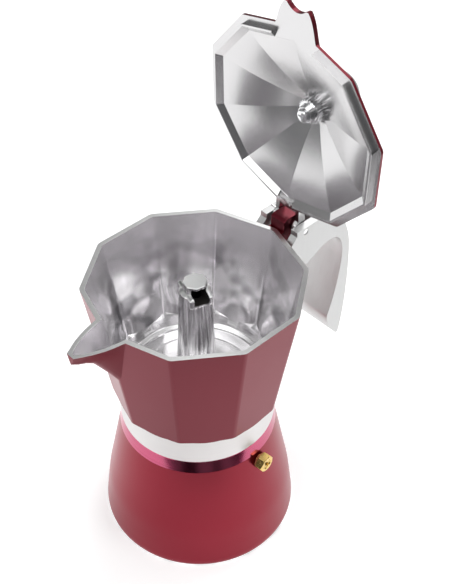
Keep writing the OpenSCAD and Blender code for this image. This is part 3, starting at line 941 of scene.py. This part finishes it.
def hinge_boss():
    """The half-round boss under the lid's flange, between the hinge and the cone."""
    radius, dish = 4.9, 3.6
    outline = [(0, -1.6), (2.4, -1.9), (dish, -2.7), (4.3, -2.9)]
    outline += [
        (radius * math.cos(a), -radius * 0.62 * math.sin(a))
        for a in (math.radians(x) for x in (50, 35, 20, 0))
    ]
    boss = turned([Vector(p) for p in outline] + [Vector((radius, 0.6)), Vector((0, 0.6))], 64, BARE)
    bmesh.ops.translate(boss, verts=boss.verts, vec=(CONE_R + 1.4, 0, LID_Z))
    keep = block((CONE_R + 0.2, -8, LID_Z - 6), (CONE_R + 2.0, 8, LID_Z + 0.5), BARE)
    return carved(boss, keep, "INTERSECT")


def cone_rings(last_r, count):
    """Rings of the cone's inside, which steepens a little towards the hub."""
    rings = []
    for k in range(1, count + 1):
        share = k / count
        rings.append((
            CONE_R + (last_r - CONE_R) * share, LID_Z + CONE_H * (0.66 * share + 0.34 * share ** 2),
        ))
    return rings


def make_ear(side):
    """One of the two ears that turn on the pin."""
    inner, outer, eye = LUG_W / 2 + EAR_GAP, FORK_GAP / 2 - EAR_GAP + 0.1, 4.0
    outline = (
        [Vector((RIM_R - 8, LID_Z)), Vector((PIN.x - 4, LID_Z))]
        + [PIN.xz + Vector((math.cos(a), math.sin(a))) * eye
           for a in (math.radians(x) for x in range(-150, 91, 12))]
        + [Vector((RIM_R - 4, PIN.z + eye - 1)), Vector((RIM_R - 8, LID_Z + LID_RIM_H))]
    )
    low, high = (inner, outer) if side > 0 else (-outer, -inner)
    bm = plank(outline, low, high, BARE)
    bevelled(bm, sharp_edges(bm, 60), 0.4, 2)
    return tidied(bm, BARE)


def make_knob(silver, steel):
    """The knob on the lid's apex, and its hub with a screw inside the lid."""
    base = LID_Z + CONE_H + LID_WALL - 0.7
    neck = bend((7.4, 3.4), (5.4, 7), (6, 10), (9.6, 13), 12)
    crown = bend((11.2, 14.4), (13.4, 17), (12, 22.4), (0, 23.6), 16)
    outline = [Vector((3.4, 0.7)), Vector((8.3, 0.7)), Vector((8.6, 1.0)), Vector((8.6, 2.4))]
    outline += neck + crown[:-1] + [Vector((0, 23.6)), Vector((0, 13)), Vector((3.4, 13))]
    bm = turned(outline, 96, closed=True)
    bmesh.ops.translate(bm, verts=bm.verts, vec=(0, 0, base))
    piece(moved(bm, open_place()), "lid_knob", [silver], "lid", ["knob"])

    hub_z = LID_Z + CONE_H - 3.4
    bush = turned(rounded([
        (2.2, hub_z, 0), (6.0, hub_z, 0.3), (6.0, hub_z + 3.4, 0), (2.2, hub_z + 3.4, 0),
    ]), 96, closed=True)
    teeth = 24
    for i in range(teeth):
        tooth = block((5.6, -0.42, hub_z + 0.1), (6.6, 0.42, hub_z + 3.4), corner=0.12)
        turn = Matrix.Rotation(2 * math.pi * i / teeth, 4, "Z")
        bush = joined([bush, moved(tooth, turn)])
    piece(moved(bush, open_place()), "hub_splines", [steel], "lid", ["knob_bush"])

    cap_z = LID_Z + CONE_H - 6.4
    cap = turned(rounded([
        (2.2, cap_z + 0.5, 0.2), (3.5, cap_z + 0.5, 0), (3.6, cap_z, 0.2), (4.3, cap_z, 0.35),
        (4.9, cap_z + 3, 0), (2.2, cap_z + 3, 0),
    ]), 72, closed=True)
    piece(moved(cap, open_place()), "hub_cap", [steel], "lid", ["knob_cap"])

    head_z = LID_Z + CONE_H - 8.2
    screw = turned(rounded([
        (0, head_z, 0), (3.4, head_z, 0.5), (3.4, head_z + 1.8, 0.1), (1.9, head_z + 1.9, 0),
        (1.9, base + 11, 0.3), (0, base + 11, 0),
    ], closed=False), 64)
    for turn in (0, 90):
        cross = block((-2.3, -0.4, head_z - 1), (2.3, 0.4, head_z + 1.0), corner=0.15)
        cross = moved(cross, Matrix.Rotation(math.radians(turn), 4, "Z"))
        screw = carved(screw, cross, "DIFFERENCE")
    piece(moved(screw, open_place()), "hub_screw", [steel], "lid", ["knob_screw"])


# ---------------------------------------------------------------- studio

def make_studio():
    """Pale floor, soft lights and the camera."""
    bm = bmesh.new()
    table_r, table_middle = 1.6, Matrix.Translation((0.71, 1.23, 0))
    bmesh.ops.create_circle(bm, cap_ends=True, segments=128, radius=table_r, matrix=table_middle)
    mesh = bpy.data.meshes.new("floor")
    bm.to_mesh(mesh)
    bm.free()
    mesh.materials.append(studio_floor())
    floor = bpy.data.objects.new("floor", mesh)
    bpy.context.scene.collection.objects.link(floor)

    world = bpy.data.worlds.new("studio")
    bpy.context.scene.world = world
    world.use_nodes = True
    tree = world.node_tree
    tree.nodes.clear()
    place = node(tree, "ShaderNodeTexCoord")
    split = node(tree, "ShaderNodeSeparateXYZ", [("Vector", place.outputs["Generated"])])
    ramp = node(tree, "ShaderNodeValToRGB", [("Fac", split.outputs["Z"])])
    stops = ramp.color_ramp
    stops.elements[0].position, stops.elements[0].color = 0.0, (0.2, 0.2, 0.205, 1)
    stops.elements[1].position, stops.elements[1].color = 1.0, (1.05, 1.05, 1.06, 1)
    for at, tone in ((0.14, 0.16), (0.42, 0.62), (0.75, 0.85)):
        stop = stops.elements.new(at)
        stop.color = (tone, tone, tone, 1)
    facing = node(
        tree, "ShaderNodeVectorMath", [(0, place.outputs["Generated"])], operation="DOT_PRODUCT",
    )
    facing.inputs[1].default_value = (-0.66, -0.75, 0)
    shade = spread(tree, facing.outputs["Value"], 1.0, 0.45, 0.45, 0.95)
    flag = node(
        tree, "ShaderNodeVectorMath", [(0, place.outputs["Generated"])], operation="DOT_PRODUCT",
    )
    flag.inputs[1].default_value = (0.13, 0.75, 0.64)
    panels = node(
        tree, "ShaderNodeTexNoise", [("Vector", place.outputs["Generated"])],
        noise_dimensions="4D", W=1.4, Scale=2.6, Detail=0.0,
    )
    strength = node(tree, "ShaderNodeMath", [
        (0, spread(tree, flag.outputs["Value"], 1.0, 0.2, 0.8, 0.96)),
        (1, spread(tree, panels.outputs["Fac"], 0.15, 1.8, 0.38, 0.62)),
    ], operation="MULTIPLY")
    shaded = node(
        tree, "ShaderNodeMath", [(0, shade), (1, strength.outputs["Value"])], operation="MULTIPLY",
    )
    dome = node(
        tree, "ShaderNodeBackground",
        [("Color", ramp.outputs["Color"]), ("Strength", shaded.outputs["Value"])],
    )
    plain = node(tree, "ShaderNodeBackground", Color=(0.98, 0.98, 0.98, 1), Strength=1.0)
    path = node(tree, "ShaderNodeLightPath")
    mix = node(tree, "ShaderNodeMixShader", [
        (0, path.outputs["Is Camera Ray"]), (1, dome.outputs["Background"]),
        (2, plain.outputs["Background"]),
    ])
    node(tree, "ShaderNodeOutputWorld", [("Surface", mix.outputs["Shader"])])

    for light in (
        ("right", (1.0, 0.31, 1.21), 1.0, 8), ("left", (-1.3, 0.15, 0.95), 1.0, 7),
        ("front", (0.45, -1.35, 0.6), 0.8, 3), ("top", (-0.12, -0.1, 0.75), 0.25, 0.35),
    ):
        soft_light(*light)

    data = bpy.data.cameras.new("camera")
    data.lens, data.sensor_width = 66.39, 36
    data.shift_x, data.shift_y = 0.0527, 0.0012
    camera = bpy.data.objects.new("camera", data)
    bpy.context.scene.collection.objects.link(camera)
    aim, away = Vector((0, 0, 0.15445)), 0.5253
    azimuth, elevation, roll = (math.radians(x) for x in (-41.52, 42.43, -1.28))
    back = Vector((
        math.sin(azimuth) * math.cos(elevation),
        -math.cos(azimuth) * math.cos(elevation), math.sin(elevation),
    ))
    camera.location = aim + back * away
    camera.rotation_mode = "QUATERNION"
    camera.rotation_quaternion = (-back).to_track_quat("-Z", "Y") @ Quaternion((0, 0, 1), roll)
    bpy.context.scene.camera = camera
    bpy.context.scene.view_settings.view_transform = "Standard"


def soft_light(name, place, size, power):
    """A square softbox that faces the pot."""
    data = bpy.data.lights.new(name, "AREA")
    data.shape, data.size, data.energy = "SQUARE", size, power
    light = bpy.data.objects.new(name, data)
    light.location = place
    light.rotation_mode = "QUATERNION"
    light.rotation_quaternion = (Vector((0, 0, 0.12)) - Vector(place)).to_track_quat("-Z", "Y")
    bpy.context.scene.collection.objects.link(light)


def repaint(node_name, finish):
    """Gives a CAD node that stays its finish."""
    mesh = frame["nodes"][node_name].data
    mesh.materials.clear()
    mesh.materials.append(finish)


# ---------------------------------------------------------------- the pot

make_studio()
red = red_anodised("red_anodised", (0.225, 0.005, 0.018), (0.265, 0.008, 0.025), 0.42)
# A second, darker copy of the red anodising for the upper pot and lid: the same finish as the boiler,
# its drop in colour is painted shade for the dimmer reflections on the upper facets.
red_with_painted_shade = red_anodised("red_with_painted_shade", (0.135, 0.011, 0.021), (0.165, 0.017, 0.029), 0.32)
bare, band, floor_finish = cast_aluminium(), machined_band(), turned_floor()
silver, steel, sheet, brass_finish = satin_silver(), polished_steel(), pressed_aluminium(), brass()

make_boiler(red, bare, red_bevel())
neck_thread = thread(NECK_R - 0.3, 38.2, 75.6, 1.1)
piece(neck_thread, "boiler_thread", [bare], "boiler")
make_valve(brass_finish)
make_funnel(sheet)
faced = faced_metal()
make_vessel(red_with_painted_shade, bare, band, floor_finish, faced)
skirt_thread = thread(SKIRT_BORE + 0.3, 37.7, 77.6, 1.6)
piece(skirt_thread, "skirt_thread", [bare], "upper_vessel")
# The riser's bore and windows take a near-black painted shade.
make_column(polished_column(), bore_painted_shade(), faced)
make_handle(silver)
make_lid(red_with_painted_shade, satin_lid())
make_knob(silver, steel)

repaint("valve_washer", fibre())
repaint("valve_seat", brass_finish)
repaint("valve_spring", spring_steel())
repaint("valve_stem", brass_finish)
repaint("funnel_tube", sheet)
repaint("funnel_screen", sheet)
repaint("filter_plate", sheet)
repaint("gasket", silicone())
repaint("hinge_pin", steel)
repaint("knob_insert", brass_finish)
